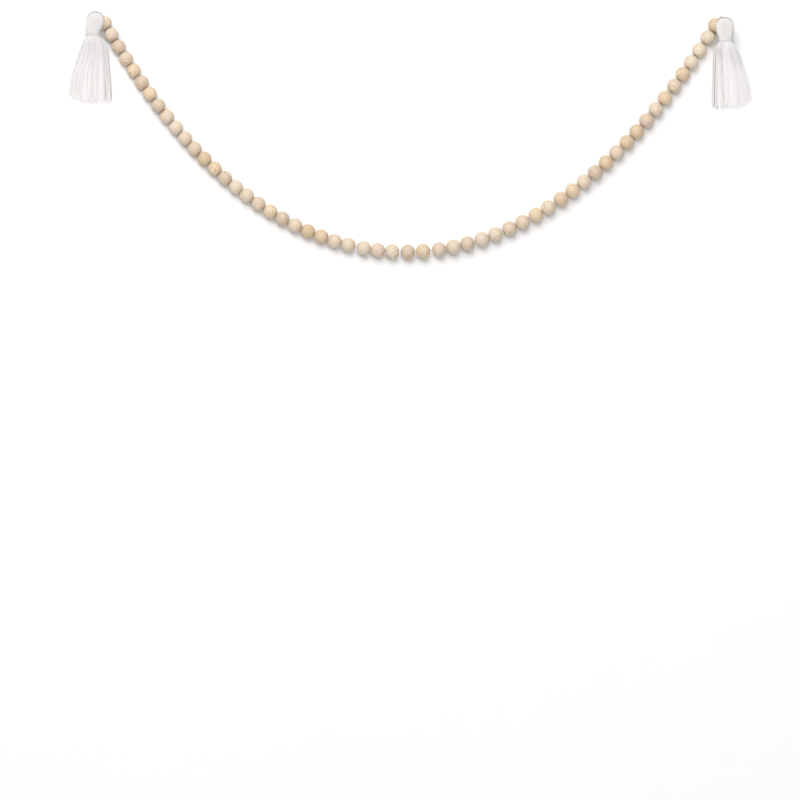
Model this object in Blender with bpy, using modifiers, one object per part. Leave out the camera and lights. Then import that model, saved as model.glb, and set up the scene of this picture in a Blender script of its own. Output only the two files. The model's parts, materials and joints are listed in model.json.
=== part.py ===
# Wood bead garland: turned wooden beads on a cotton cord, with a cotton tassel at each end.
# It hangs in a swag on a wall, from two points that hold the cord beyond its end beads.
# X runs to the right along the wall, Z is up, and +Y points to the wall. The origin is
# midway between the two hang points, at the underside of the cord. Sizes are in metres.

import math
import random
from collections import namedtuple

import bmesh
import bpy
from mathutils import Matrix, Vector

GARLAND = "wood_bead_garland"

# The swag: the cord's middle line is a catenary that leans a little to the right
SWAG_CURVE = 0.2605  # the catenary's own length, which sets how deep the swag hangs
SWAG_LEAN = math.radians(1.88)
LEFT_REACH = -0.3387  # the hang points, measured across from the lowest point
RIGHT_REACH = 0.3496

# The beads
BEAD_COUNT = 56
BEAD_SMALL = 0.01578  # diameter at the left end
BEAD_LARGE = 0.01628  # diameter at the right end
FIRST_LARGER = 20  # the beads grow between these two numbers
LAST_LARGER = 34
BORE_RADIUS = 0.0020
BEAD_STEPS = 12
BEAD_RINGS = 7  # points down the outside, from one rim of the bore to the other
FIRST_BEAD = 0.0110  # from the left hang point to the middle of the first bead
BEAD_GAP = 0.00036  # between two beads that touch
SLACK = {  # extra cord that shows after a bead, by the bead's number
    7: 0.0006, 20: 0.0004, 25: 0.0016, 28: 0.0015, 29: 0.0010, 30: 0.0018,
    33: 0.0006, 35: 0.0005, 37: 0.0006, 39: 0.0006, 47: 0.0004, 50: 0.0008, 54: 0.0006,
}
BEAD_SAG = 0.0006  # a bead hangs this far below the cord's middle line
SAME_POINT = 0.00001  # a turned bead's points closer than this are one
WOOD_SEED = 3  # which bead has which of the three woods

# The cord
CORD_RADIUS = 0.0010
CORD_BEVEL = 2  # bevel resolution, which gives the tube 8 sides
CORD_STEP = 0.0012  # between its points where it bends at the hang points

Along = namedtuple("Along", "out front rise")
END_ROUTE = (  # from a hang point, over it and into the back of the tassel's head
    Along(0.0004, 0.0010, 0.0002),
    Along(0.0022, 0.0030, 0.0000),
    Along(0.0037, 0.0052, -0.0012),
    Along(0.0045, 0.0076, -0.0027),
    Along(0.0048, 0.0100, -0.0040),
)
SOCKET_RADIUS = 0.0014  # the hole in the head that takes the end of the cord
SOCKET_DEEPER = 0.00035  # the socket goes this far past the end of the cord
SOCKET_LENGTH = 0.0060
SOCKET_SIDES = 12

# The tassels: each level gives the half width across, the half depth, how far the middle
# has moved away from the beads and back towards the wall, and its share of the tuck that
# pulls the neck away from the beads
Level = namedtuple("Level", "drop wide deep shift back tuck")
HEAD = (
    Level(0.0000, 0.0016, 0.0011, 0.0000, 0.0000, 0.00),
    Level(0.0009, 0.0048, 0.0031, 0.0000, 0.0000, 0.00),
    Level(0.0028, 0.0075, 0.0048, 0.0000, 0.0000, 0.00),
    Level(0.0058, 0.0092, 0.0059, 0.0000, 0.0000, 0.00),
    Level(0.0100, 0.0098, 0.0063, 0.0001, 0.0000, 0.10),
    Level(0.0150, 0.0096, 0.0063, 0.0002, 0.0000, 0.30),
    Level(0.0190, 0.0088, 0.0059, 0.0002, 0.0001, 0.65),
    Level(0.0225, 0.0074, 0.0051, 0.0003, 0.0002, 0.95),
    Level(0.0230, 0.0078, 0.0054, 0.0003, 0.0002, 0.96),
    Level(0.0262, 0.0078, 0.0054, 0.0004, 0.0003, 1.00),
    Level(0.0267, 0.0073, 0.0050, 0.0004, 0.0003, 1.00),
    Level(0.0288, 0.0078, 0.0052, 0.0004, 0.0004, 0.95),
)
SKIRT = (
    Level(0.0255, 0.0064, 0.0043, 0.0004, 0.0003, 1.00),
    Level(0.0290, 0.0080, 0.0053, 0.0004, 0.0004, 0.95),
    Level(0.0325, 0.0112, 0.0071, 0.0006, 0.0008, 0.60),
    Level(0.0380, 0.0139, 0.0089, 0.0012, 0.0014, 0.10),
    Level(0.0540, 0.0173, 0.0104, 0.0033, 0.0028, 0.00),
    Level(0.0860, 0.0222, 0.0122, 0.0063, 0.0055, 0.00),
    Level(0.1030, 0.0216, 0.0118, 0.0060, 0.0062, 0.00),
)
HEAD_SIDES = 32
RIDGES = 16  # folded yarn round the head
RIDGE_HEIGHT = 0.030  # as a share of the head's size
BINDING_TOP = 0.0225  # the yarn is bound at the neck from here down
TASSEL_FRONT = 0.0122  # the tassel hangs this far in front of the beads

Ring = namedtuple("Ring", "count inner outer")
RINGS = (  # the skirt's locks in a circle of radius 1, which each level stretches
    Ring(24, 0.68, 1.00),
    Ring(15, 0.36, 0.65),
    Ring(7, 0.06, 0.33),
)
LOCK_SHARE = 0.84  # of its own room that a lock fills
LOCK_SWAY = 0.30  # of the gap beside it that a lock strays by its tip
TIP_SHARE = 0.50  # how wide a lock is at its tip, as a share of its width there
LONGEST_LOCK = 0.1025
OUTER_TRIM = 0.0065  # the locks furthest from the beads end this much higher
LENGTH_VARIES = 0.0028  # a lock ends up to this much higher by chance

End = namedtuple("End", "name side out rise tuck lean wide spread seed")
ENDS = (  # the left tassel's skirt is a little fuller and leans less, and its neck is tucked
    End("tassel_left", -1, 0.0046, 0.0011, 0.0027, -0.010, 1.00, 1.07, 5),
    End("tassel_right", 1, 0.0045, -0.0014, 0.0000, 0.020, 1.03, 1.00, 8),
)

Finish = namedtuple("Finish", "color roughness")
WOODS = {
    "wood_cream": Finish((0.80, 0.66, 0.50), 0.60),
    "wood_honey": Finish((0.74, 0.56, 0.37), 0.60),
    "wood_rose": Finish((0.76, 0.59, 0.47), 0.60),
}
COTTON_CORD = Finish((0.86, 0.83, 0.78), 0.90)
COTTON_YARN = Finish((0.90, 0.87, 0.84), 0.92)


def clear_scene():
    for found in list(bpy.data.objects):
        bpy.data.objects.remove(found)


def collection(name):
    made = bpy.data.collections.new(name)
    bpy.context.scene.collection.children.link(made)
    return made


def material(name, finish):
    made = bpy.data.materials.new(name)
    made.use_nodes = True
    shader = made.node_tree.nodes["Principled BSDF"]
    shader.inputs["Base Color"].default_value = (*finish.color, 1.0)
    shader.inputs["Roughness"].default_value = finish.roughness
    shader.inputs["Metallic"].default_value = 0.0
    return made


def place(made, home, parent, matrix=None):
    home.objects.link(made)
    made.parent = parent
    if matrix is not None:
        made.matrix_world = matrix
    return made


def mesh_from(bm, name):
    bmesh.ops.recalc_face_normals(bm, faces=bm.faces)
    mesh = bpy.data.meshes.new(name)
    bm.to_mesh(mesh)
    bm.free()
    return mesh


# The swag

def swag_length(reach):
    """Length along the cord from the swag's lowest point."""
    return SWAG_CURVE * math.sinh(reach / SWAG_CURVE)


def swag_hung(length):
    """The cord's middle line, before the origin is put between the hang points."""
    reach = SWAG_CURVE * math.asinh(length / SWAG_CURVE)
    height = SWAG_CURVE * (math.cosh(reach / SWAG_CURVE) - 1)
    x = math.cos(SWAG_LEAN) * reach + math.sin(SWAG_LEAN) * height
    z = math.cos(SWAG_LEAN) * height - math.sin(SWAG_LEAN) * reach
    return Vector((x, 0, z))


LEFT_LENGTH = swag_length(LEFT_REACH)
RIGHT_LENGTH = swag_length(RIGHT_REACH)
UNDER_CORD = Vector((0, 0, CORD_RADIUS))
ORIGIN = (swag_hung(LEFT_LENGTH) + swag_hung(RIGHT_LENGTH)) / 2 - UNDER_CORD


def swag(length):
    return swag_hung(length) - ORIGIN


# The beads

def bead_diameter(number):
    share = (number - FIRST_LARGER) / (LAST_LARGER - FIRST_LARGER)
    share = min(1.0, max(0.0, share))
    return BEAD_SMALL + (BEAD_LARGE - BEAD_SMALL) * share


def bead_length(diameter):
    """The bore cuts both poles off the ball."""
    return 2 * math.sqrt((diameter / 2) ** 2 - BORE_RADIUS**2)


def bead_places():
    """For each bead its number, its diameter and where its middle lies along the cord."""
    places = []
    at = LEFT_LENGTH + FIRST_BEAD
    for number in range(1, BEAD_COUNT + 1):
        diameter = bead_diameter(number)
        places.append((number, diameter, at))
        next_length = bead_length(bead_diameter(number + 1))
        gap = BEAD_GAP + SLACK.get(number, 0.0)
        at += (bead_length(diameter) + next_length) / 2 + gap
    return places


def bead_section(diameter):
    """Half a section, down the outside and back up the bore, for a Screw modifier to turn."""
    pole = math.asin(BORE_RADIUS / (diameter / 2))
    bm = bmesh.new()
    section = []
    for i in range(BEAD_RINGS):
        angle = pole + (math.pi - 2 * pole) * i / (BEAD_RINGS - 1)
        x = math.sin(angle) * diameter / 2
        z = math.cos(angle) * diameter / 2
        section.append(bm.verts.new((x, 0, z)))
    for a, b in zip(section, section[1:] + section[:1]):
        bm.edges.new((a, b))
    mesh = bpy.data.meshes.new("bead_section")
    bm.to_mesh(mesh)
    bm.free()
    return mesh


def make_bead(number, diameter, at, wood, home, parent):
    half = bead_length(diameter) / 2
    start = swag(at - half)
    end = swag(at + half)
    along = (end - start).normalized()
    back = Vector((0, 1, 0))
    up = back.cross(along) * -1
    middle = (start + end) / 2 - up * BEAD_SAG
    turned = Matrix((up, back, along)).transposed().to_4x4()
    bead = bpy.data.objects.new(f"bead_{number:02d}", bead_section(diameter))
    bead.data.materials.append(wood)
    place(bead, home, parent, Matrix.Translation(middle) @ turned)
    screw = bead.modifiers.new("turned", "SCREW")
    screw.axis = "Z"
    screw.steps = BEAD_STEPS
    screw.render_steps = BEAD_STEPS
    screw.use_merge_vertices = True
    screw.merge_threshold = SAME_POINT
    screw.use_smooth_shade = True
    return bead


# The cord

def smooth_line(points, step):
    """Points about a step apart on a smooth curve through the given ones."""
    line = []
    for i in range(len(points) - 1):
        before = points[max(i - 1, 0)]
        a, b = points[i], points[i + 1]
        after = points[min(i + 2, len(points) - 1)]
        out = (b - before) / 2
        into = (after - a) / 2
        count = max(1, round((b - a).length / step))
        for k in range(count):
            t = k / count
            line.append(
                a * (2 * t**3 - 3 * t**2 + 1)
                + out * (t**3 - 2 * t**2 + t)
                + b * (3 * t**2 - 2 * t**3)
                + into * (t**3 - t**2)
            )
    line.append(points[-1])
    return line


def from_hang(row, side):
    return Vector((side * row.out, -row.front, row.rise))


def end_line(hang, side, bead_face):
    """From the end bead's face, over the hang point and into the tassel's head."""
    route = [bead_face] + [hang + from_hang(row, side) for row in END_ROUTE]
    return smooth_line(route, CORD_STEP)


def cord_points(places):
    faces = []
    for (_, diameter, at), (_, next_diameter, next_at) in zip(places, places[1:]):
        before = at + bead_length(diameter) / 2
        after = next_at - bead_length(next_diameter) / 2
        faces.append(swag((before + after) / 2))
    _, diameter, at = places[0]
    left_face = swag(at - bead_length(diameter) / 2)
    _, diameter, at = places[-1]
    right_face = swag(at + bead_length(diameter) / 2)
    left = end_line(swag(LEFT_LENGTH), -1, left_face)
    right = end_line(swag(RIGHT_LENGTH), 1, right_face)
    return left[::-1] + faces + right


def make_cord(places, cotton, home, parent):
    points = cord_points(places)
    curve = bpy.data.curves.new("cord", "CURVE")
    curve.dimensions = "3D"
    curve.bevel_depth = CORD_RADIUS
    curve.bevel_resolution = CORD_BEVEL
    curve.use_fill_caps = True
    spline = curve.splines.new("POLY")
    spline.points.add(len(points) - 1)
    for point, at in zip(spline.points, points):
        point.co = (*at, 1.0)
    curve.materials.append(cotton)
    cord = bpy.data.objects.new("cord", curve)
    return place(cord, home, parent)


# The tassels

def level_at(levels, drop):
    """The level at any drop, between the rows above and below it."""
    for a, b in zip(levels, levels[1:]):
        if drop <= b.drop:
            t = (drop - a.drop) / (b.drop - a.drop)
            return Level(*(p + (q - p) * t for p, q in zip(a, b)))
    return levels[-1]


def tassel_point(level, end, stretch, across, deep):
    """A point of a level, whose own circle has a radius of 1, from the head's top."""
    x = level.shift + level.tuck * end.tuck + end.lean * level.drop
    x += level.wide * stretch * across
    y = level.back + level.deep * deep
    return Vector((end.side * x, y, -level.drop))


def bridge(bm, rings):
    """Walls between rings of points, closed at both ends."""
    for a, b in zip(rings, rings[1:]):
        count = len(a)
        for i in range(count):
            j = (i + 1) % count
            bm.faces.new((a[i], a[j], b[j], b[i]))
    bm.faces.new(rings[0])
    bm.faces.new(rings[-1])


def head_mesh(end):
    bm = bmesh.new()
    rings = []
    for n, level in enumerate(HEAD):
        ridged = 0 < n and level.drop < BINDING_TOP
        ring = []
        for i in range(HEAD_SIDES):
            angle = 2 * math.pi * i / HEAD_SIDES
            ridge = math.cos(RIDGES * angle) * RIDGE_HEIGHT if ridged else 0.0
            across = math.cos(angle) * (1 + ridge)
            deep = math.sin(angle) * (1 + ridge)
            ring.append(bm.verts.new(tassel_point(level, end, end.wide, across, deep)))
        rings.append(ring)
    bridge(bm, rings)
    return mesh_from(bm, end.name)


def lock_section(ring, angle):
    """A lock has four corners: out, one side, in and the other side."""
    room = math.pi / ring.count * LOCK_SHARE
    middle = (ring.inner + ring.outer) / 2
    corners = (
        (ring.outer, angle),
        (middle, angle + room),
        (ring.inner, angle),
        (middle, angle - room),
    )
    return [(r * math.cos(a), r * math.sin(a)) for r, a in corners]


def add_lock(bm, end, ring, angle, chance):
    outward = max(0.0, math.cos(angle)) ** 2 * ring.outer
    length = LONGEST_LOCK - OUTER_TRIM * outward
    length -= chance.uniform(0, LENGTH_VARIES)
    gap = math.pi / ring.count * (1 - LOCK_SHARE)
    sway = chance.uniform(-LOCK_SWAY, LOCK_SWAY) * gap
    tip = level_at(SKIRT, length)
    levels = [level for level in SKIRT if level.drop < length] + [tip]
    rings = []
    for n, level in enumerate(levels):
        loose = n / (len(levels) - 1)
        section = lock_section(ring, angle + sway * loose)
        if level is tip:
            x = sum(p[0] for p in section) / len(section)
            y = sum(p[1] for p in section) / len(section)
            section = [
                (x + (p[0] - x) * TIP_SHARE, y + (p[1] - y) * TIP_SHARE) for p in section
            ]
        rings.append([bm.verts.new(tassel_point(level, end, end.spread, *p)) for p in section])
    bridge(bm, rings)


def locks_mesh(end):
    chance = random.Random(end.seed)
    bm = bmesh.new()
    for n, ring in enumerate(RINGS):
        half_step = 0.5 * (n % 2)  # every second ring's locks face the gaps of the next
        for i in range(ring.count):
            angle = 2 * math.pi * (i + half_step) / ring.count
            add_lock(bm, end, ring, angle, chance)
    return mesh_from(bm, end.name + "_locks")


def helper(name, mesh, home, parent, matrix):
    made = bpy.data.objects.new(name, mesh)
    place(made, home, parent, matrix)
    made.hide_render = True
    made.display_type = "WIRE"
    return made


def socket_mesh():
    bm = bmesh.new()
    bmesh.ops.create_cone(
        bm, cap_ends=True, segments=SOCKET_SIDES, radius1=SOCKET_RADIUS,
        radius2=SOCKET_RADIUS, depth=SOCKET_LENGTH,
    )
    return mesh_from(bm, "socket")


def add_boolean(made, operation, other):
    boolean = made.modifiers.new(other.name, "BOOLEAN")
    boolean.operation = operation
    boolean.solver = "EXACT"
    boolean.object = other


def make_tassel(end, hang, cotton, home, helpers, parent):
    top = hang + Vector((end.side * end.out, -TASSEL_FRONT, end.rise))
    matrix = Matrix.Translation(top)
    tassel = bpy.data.objects.new(end.name, head_mesh(end))
    tassel.data.materials.append(cotton)
    place(tassel, home, parent, matrix)
    locks = helper(end.name + "_locks", locks_mesh(end), helpers, parent, matrix)
    near_end, cord_end = (from_hang(row, end.side) for row in END_ROUTE[-2:])
    inward = (cord_end - near_end).normalized()
    middle = hang + cord_end + inward * (SOCKET_DEEPER - SOCKET_LENGTH / 2)
    turned = inward.to_track_quat("Z", "Y").to_matrix().to_4x4()
    socket = helper(
        end.name + "_socket", socket_mesh(), helpers, parent,
        Matrix.Translation(middle) @ turned,
    )
    add_boolean(tassel, "UNION", locks)
    add_boolean(tassel, "DIFFERENCE", socket)
    return tassel


def main():
    clear_scene()
    home = collection(GARLAND)
    helpers = collection("cutters")
    root = bpy.data.objects.new(GARLAND, None)
    home.objects.link(root)
    woods = [material(name, finish) for name, finish in WOODS.items()]
    chance = random.Random(WOOD_SEED)
    places = bead_places()
    for number, diameter, at in places:
        make_bead(number, diameter, at, chance.choice(woods), home, root)
    make_cord(places, material("cotton_cord", COTTON_CORD), home, root)
    yarn = material("cotton_yarn", COTTON_YARN)
    hangs = (swag(LEFT_LENGTH), swag(RIGHT_LENGTH))
    for end, hang in zip(ENDS, hangs):
        make_tassel(end, hang, yarn, home, helpers, root)


main()
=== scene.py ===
import json
import math
import random

import bmesh
import bpy
import numpy as np
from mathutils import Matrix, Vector


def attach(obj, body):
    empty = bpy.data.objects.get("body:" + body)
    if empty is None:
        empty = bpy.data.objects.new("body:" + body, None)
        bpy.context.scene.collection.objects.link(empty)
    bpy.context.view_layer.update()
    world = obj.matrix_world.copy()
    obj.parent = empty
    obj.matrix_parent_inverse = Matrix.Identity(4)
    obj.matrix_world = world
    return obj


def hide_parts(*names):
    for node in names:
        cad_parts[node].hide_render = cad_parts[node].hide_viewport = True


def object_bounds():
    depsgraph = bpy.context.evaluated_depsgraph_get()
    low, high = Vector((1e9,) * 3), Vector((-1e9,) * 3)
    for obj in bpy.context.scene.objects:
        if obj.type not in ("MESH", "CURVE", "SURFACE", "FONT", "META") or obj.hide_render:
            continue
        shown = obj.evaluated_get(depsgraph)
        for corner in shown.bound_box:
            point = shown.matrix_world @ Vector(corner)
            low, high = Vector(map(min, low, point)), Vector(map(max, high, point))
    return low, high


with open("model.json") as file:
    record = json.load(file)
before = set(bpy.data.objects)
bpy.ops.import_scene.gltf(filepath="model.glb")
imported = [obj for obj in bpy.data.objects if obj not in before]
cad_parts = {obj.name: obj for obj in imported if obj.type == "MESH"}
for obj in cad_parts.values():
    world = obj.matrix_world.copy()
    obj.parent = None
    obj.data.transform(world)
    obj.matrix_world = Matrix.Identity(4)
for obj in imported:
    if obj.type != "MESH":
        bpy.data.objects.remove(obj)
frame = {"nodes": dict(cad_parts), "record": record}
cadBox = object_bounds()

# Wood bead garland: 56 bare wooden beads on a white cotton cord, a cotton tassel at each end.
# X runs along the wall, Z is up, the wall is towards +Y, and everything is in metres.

scene = bpy.context.scene
mm = 0.001


# Small helpers for node trees, both of shaders and of geometry

def socketOf(sockets, key):  # the socket of that name that is in use
    if isinstance(key, int):
        return sockets[key]
    return next(s for s in sockets if s.enabled and key in (None, s.name))


def plug(tree, socket, value):
    if isinstance(value, bpy.types.NodeSocket):
        tree.links.new(value, socket)
    else:
        socket.default_value = value


def addNode(tree, kind, inputs=None, output=None, **settings):  # gives one output socket
    node = tree.nodes.new(kind)
    for name, value in settings.items():
        setattr(node, name, value)
    for key, value in (inputs or {}).items():
        plug(tree, socketOf(node.inputs, key), value)
    return socketOf(node.outputs, output)


def calc(tree, operation, *values):
    node = tree.nodes.new("ShaderNodeMath")
    node.operation = operation
    for socket, value in zip(node.inputs, values):
        plug(tree, socket, value)
    return node.outputs[0]


def times(tree, a, b):
    return calc(tree, "MULTIPLY", a, b)


def plus(tree, a, b):
    return calc(tree, "ADD", a, b)


def minus(tree, a, b):
    return calc(tree, "SUBTRACT", a, b)


def weighed(tree, values, weights):  # the sum of those values, each times its weight
    total = 0.0
    for name, weight in weights.items():
        total = calc(tree, "MULTIPLY_ADD", values[name], weight, total)
    return total


def vectorCalc(tree, operation, *values):
    node = tree.nodes.new("ShaderNodeVectorMath")
    node.operation = operation
    for socket, value in zip([s for s in node.inputs if s.enabled], values):
        plug(tree, socket, value)
    return socketOf(node.outputs, None)


def split(tree, vector):
    node = tree.nodes.new("ShaderNodeSeparateXYZ")
    tree.links.new(vector, node.inputs[0])
    return node.outputs


def join(tree, x, y, z):
    return addNode(tree, "ShaderNodeCombineXYZ", {"X": x, "Y": y, "Z": z})


def ranged(tree, value, low, high, to=(0.0, 1.0), smooth=False):  # low..high becomes to[0]..to[1]
    return addNode(
        tree, "ShaderNodeMapRange",
        {"Value": value, "From Min": low, "From Max": high, "To Min": to[0], "To Max": to[1]},
        interpolation_type="SMOOTHSTEP" if smooth else "LINEAR",
    )


def noise(tree, place, scale=1.0, detail=1.0, roughness=0.5, output=None):
    inputs = {"Vector": place, "Scale": scale, "Detail": detail, "Roughness": roughness}
    return addNode(tree, "ShaderNodeTexNoise", inputs, output=output)


def newTree(name, inputs):  # inputs: {name: (socket kind, value)}
    tree = bpy.data.node_groups.new(name, "GeometryNodeTree")
    for label, (kind, value) in inputs.items():
        socket = tree.interface.new_socket(label, in_out="INPUT", socket_type="NodeSocket" + kind)
        if value is not None:
            socket.default_value = value
    tree.interface.new_socket("Geometry", in_out="OUTPUT", socket_type="NodeSocketGeometry")
    given = tree.nodes.new("NodeGroupInput").outputs
    return tree, given


def finishTree(tree, geometry, material):  # every tree ends the same way
    geometry = addNode(tree, "GeometryNodeSetShadeSmooth", {"Geometry": geometry})
    geometry = addNode(tree, "GeometryNodeRealizeInstances", {"Geometry": geometry})
    geometry = addNode(
        tree, "GeometryNodeSetMaterial", {"Geometry": geometry, "Material": material}
    )
    end = tree.nodes.new("NodeGroupOutput")
    tree.links.new(geometry, end.inputs[0])


def keep(tree, geometry, name, kind, value):
    return addNode(
        tree, "GeometryNodeStoreNamedAttribute",
        {"Geometry": geometry, "Name": name, "Value": value}, data_type=kind, domain="POINT",
    )


def kept(tree, name, kind):
    return addNode(tree, "GeometryNodeInputNamedAttribute", {"Name": name}, data_type=kind)


def chance(tree, kind, low, high, seed, step=0, number=None):  # another step, another draw
    inputs = {"Min": low, "Max": high, "Seed": plus(tree, seed, float(step))}
    if number is not None:
        inputs["ID"] = number
    return addNode(tree, "FunctionNodeRandomValue", inputs, data_type=kind)


def ringCurve(tree, sides, radius):
    inputs = {"Resolution": sides, "Radius": radius}
    return addNode(tree, "GeometryNodeCurvePrimitiveCircle", inputs)


def finishYarn(tree, path, ring, size, material):  # sweeps the ring along every spline
    yarn = addNode(
        tree, "GeometryNodeCurveToMesh",
        {"Curve": path, "Profile Curve": ring, "Scale": size, "Fill Caps": True},
    )
    finishTree(tree, yarn, material)


def growMesh(name, base, tree, settings):  # runs a tree on a base object and keeps a plain mesh
    modifier = base.modifiers.new(tree.name, "NODES")
    modifier.node_group = tree
    for item in tree.interface.items_tree:
        if item.item_type == "SOCKET" and item.in_out == "INPUT" and item.name in settings:
            modifier[item.identifier] = settings[item.name]
    graph = bpy.context.evaluated_depsgraph_get()
    mesh = bpy.data.meshes.new_from_object(
        base.evaluated_get(graph), preserve_all_data_layers=True, depsgraph=graph
    )
    base.modifiers.remove(modifier)
    bpy.data.objects.remove(base)
    mesh.name = name
    return newObject(name, mesh)


def newObject(name, data):
    made = bpy.data.objects.new(name, data)
    scene.collection.objects.link(made)
    return made


def polyCurve(name, lines, closed=False):  # one poly spline for each line of points
    curve = bpy.data.curves.new(name, "CURVE")
    curve.dimensions = "3D"
    for line in lines:
        spline = curve.splines.new("POLY")
        spline.points.add(len(line) - 1)
        spline.use_cyclic_u = closed
        for point, at in zip(spline.points, line):
            point.co = (at[0], at[1], at[2], 1.0)
    return newObject(name, curve)


def smoothLine(points, step):  # points about a step apart on a curve through the given ones
    line = []
    for i in range(len(points) - 1):
        before = points[max(i - 1, 0)]
        a, b = points[i], points[i + 1]
        after = points[min(i + 2, len(points) - 1)]
        out = (b - before) / 2
        into = (after - a) / 2
        count = max(1, round((b - a).length / step))
        for k in range(count):
            t = k / count
            line.append(
                a * (2 * t**3 - 3 * t**2 + 1) + out * (t**3 - 2 * t**2 + t)
                + b * (3 * t**2 - 2 * t**3) + into * (t**3 - t**2)
            )
    line.append(points[-1])
    return line


# The camera looks straight at the wall, as in the photo

photo = {
    "pixels": 800,  # the photo is square
    "origin": (410.1, 16.1),  # the pixel of the garland's origin
    "pixelSize": 1.1111 * mm,  # what one pixel shows at the beads
    "lens": 200,  # mm, so long that it hardly shows depth
    "sensor": 36,
}


def makeCamera(photo):
    size = photo["pixelSize"]
    middle = photo["pixels"] / 2
    data = bpy.data.cameras.new("camera")
    data.lens = photo["lens"]
    data.sensor_width = photo["sensor"]
    camera = newObject("camera", data)
    x = (middle - photo["origin"][0]) * size
    z = (photo["origin"][1] - middle) * size
    away = photo["pixels"] * size * photo["lens"] / photo["sensor"]
    camera.location = (x, -away, z)
    camera.rotation_euler = (math.pi / 2, 0, 0)
    scene.camera = camera
    print(f"camera: {away:.2f} m in front of the wall, {-z:.2f} m below the hang points")


makeCamera(photo)


# The cord

cord = {
    "diameter": 2.0 * mm,
    "plies": 3,
    "twist": 6.5 * mm,  # length of one turn
    "groove": 0.30,  # between two plies, as a share of the radius
    "sides": 18,
    "step": 0.7 * mm,
    "sag": 0.6 * mm,  # how far the beads hang below its middle line
    "bore": 2.0 * mm,  # radius of a bead's hole
    "ends": (  # out, front and up from a hang point, over it and into the tassel's head
        (0.4, 1.0, 0.2),
        (2.2, 3.0, 0.0),
        (3.7, 5.2, -1.2),
        (4.5, 7.6, -2.7),
        (4.8, 10.0, -4.0),
    ),
}


def readBeads():  # each bead's middle, its hole's direction, its radius and its wood
    woods = {s["node"]: s["material_slot"] for s in frame["record"]["subparts"]}
    beads = []
    for node in sorted(n for n in frame["nodes"] if n.startswith("bead_")):
        mesh = frame["nodes"][node].data
        points = np.unique(np.round([tuple(v.co) for v in mesh.vertices], 6), axis=0)
        middle = points.mean(axis=0)
        directions = np.linalg.eigh(np.cov((points - middle).T))[1]
        along = directions[:, 2] * (1 if directions[0, 2] > 0 else -1)
        radius = np.linalg.norm(points - middle, axis=1).max()
        beads.append(
            {
                "node": node, "middle": Vector(middle), "along": Vector(along),
                "radius": float(radius), "wood": woods[node],
            }
        )
    return beads


def hangPoint(name):  # the middle of the cord over that mount
    mount = next(m for m in frame["record"]["mounts"] if m["name"] == name)
    return Vector(mount["pos_m"]) + Vector((0, 0, cord["diameter"] / 2))


def cordPath(beads):
    up = [b["along"].cross(Vector((0, 1, 0))) * cord["sag"] for b in beads]
    up = [u if u.z > 0 else -u for u in up]
    half = [math.sqrt(b["radius"] ** 2 - cord["bore"] ** 2) for b in beads]
    starts = [b["middle"] - b["along"] * h + u for b, h, u in zip(beads, half, up)]
    ends = [b["middle"] + b["along"] * h + u for b, h, u in zip(beads, half, up)]
    gaps = [(a + b) / 2 for a, b in zip(ends, starts[1:])]

    def endLine(hang, side, face):
        rows = [Vector((side * out, -front, rise)) * mm for out, front, rise in cord["ends"]]
        return smoothLine([face] + [hang + row for row in rows], cord["step"])

    left = endLine(hangPoint("left_hang_point"), -1, starts[0])
    right = endLine(hangPoint("right_hang_point"), 1, ends[-1])
    return left[::-1] + gaps + right


def yarnTree(name):  # a tube with twisted plies along every spline
    tree, given = newTree(
        name,
        {
            "Geometry": ("Geometry", None),
            "Radius": ("Float", 0.5 * mm),
            "Plies": ("Int", 3),
            "Twist Length": ("Float", 5 * mm),
            "Groove": ("Float", 0.2),
            "Sides": ("Int", 12),
            "Step": ("Float", 1 * mm),
            "Seed": ("Int", 1),
            "Yarn": ("Material", None),
        },
    )
    path = addNode(
        tree, "GeometryNodeResampleCurve",
        {"Curve": given["Geometry"], "Length": given["Step"]}, mode="LENGTH",
    )
    run = addNode(tree, "GeometryNodeSplineParameter", output="Length")
    share = addNode(tree, "GeometryNodeSplineParameter", output="Factor")
    number = addNode(tree, "GeometryNodeCurveOfPoint", output="Curve Index")
    tone = chance(tree, "FLOAT", 0.0, 1.0, given["Seed"], number=number)
    for label, value in (("yarnRun", run), ("yarnShare", share), ("yarnTone", tone)):
        path = keep(tree, path, label, "FLOAT", value)
    turns = calc(tree, "DIVIDE", run, given["Twist Length"])  # none if that length is 0
    turn = times(tree, turns, 2 * math.pi)
    path = addNode(tree, "GeometryNodeSetCurveTilt", {"Curve": path, "Tilt": turn})

    ring = ringCurve(tree, given["Sides"], 1.0)
    place = addNode(tree, "GeometryNodeInputPosition")
    ring = keep(tree, ring, "yarnRound", "FLOAT_VECTOR", place)
    x, y = split(tree, place)[:2]
    angle = times(tree, calc(tree, "ARCTAN2", y, x), 0.5)
    lobe = calc(tree, "COSINE", times(tree, angle, given["Plies"]))
    dip = times(tree, given["Groove"], minus(tree, 1.0, calc(tree, "ABSOLUTE", lobe)))
    lobed = vectorCalc(tree, "SCALE", place, minus(tree, 1.0, dip))
    ring = addNode(tree, "GeometryNodeSetPosition", {"Geometry": ring, "Position": lobed})
    size = times(tree, addNode(tree, "GeometryNodeInputRadius"), given["Radius"])
    finishYarn(tree, path, ring, size, given["Yarn"])
    return tree


def spin(name, lines, radius, look, cotton, seed=1):  # twists a yarn along every line
    return growMesh(
        name, polyCurve(name + "Line", lines), spunYarn,
        {
            "Radius": radius, "Plies": look["plies"], "Twist Length": look["twist"],
            "Groove": look["groove"], "Sides": look["sides"], "Step": look["step"],
            "Seed": seed, "Yarn": cottonLooks[cotton],
        },
    )


# Cotton: matte plies of fine fibres, with a little colour drift

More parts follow.
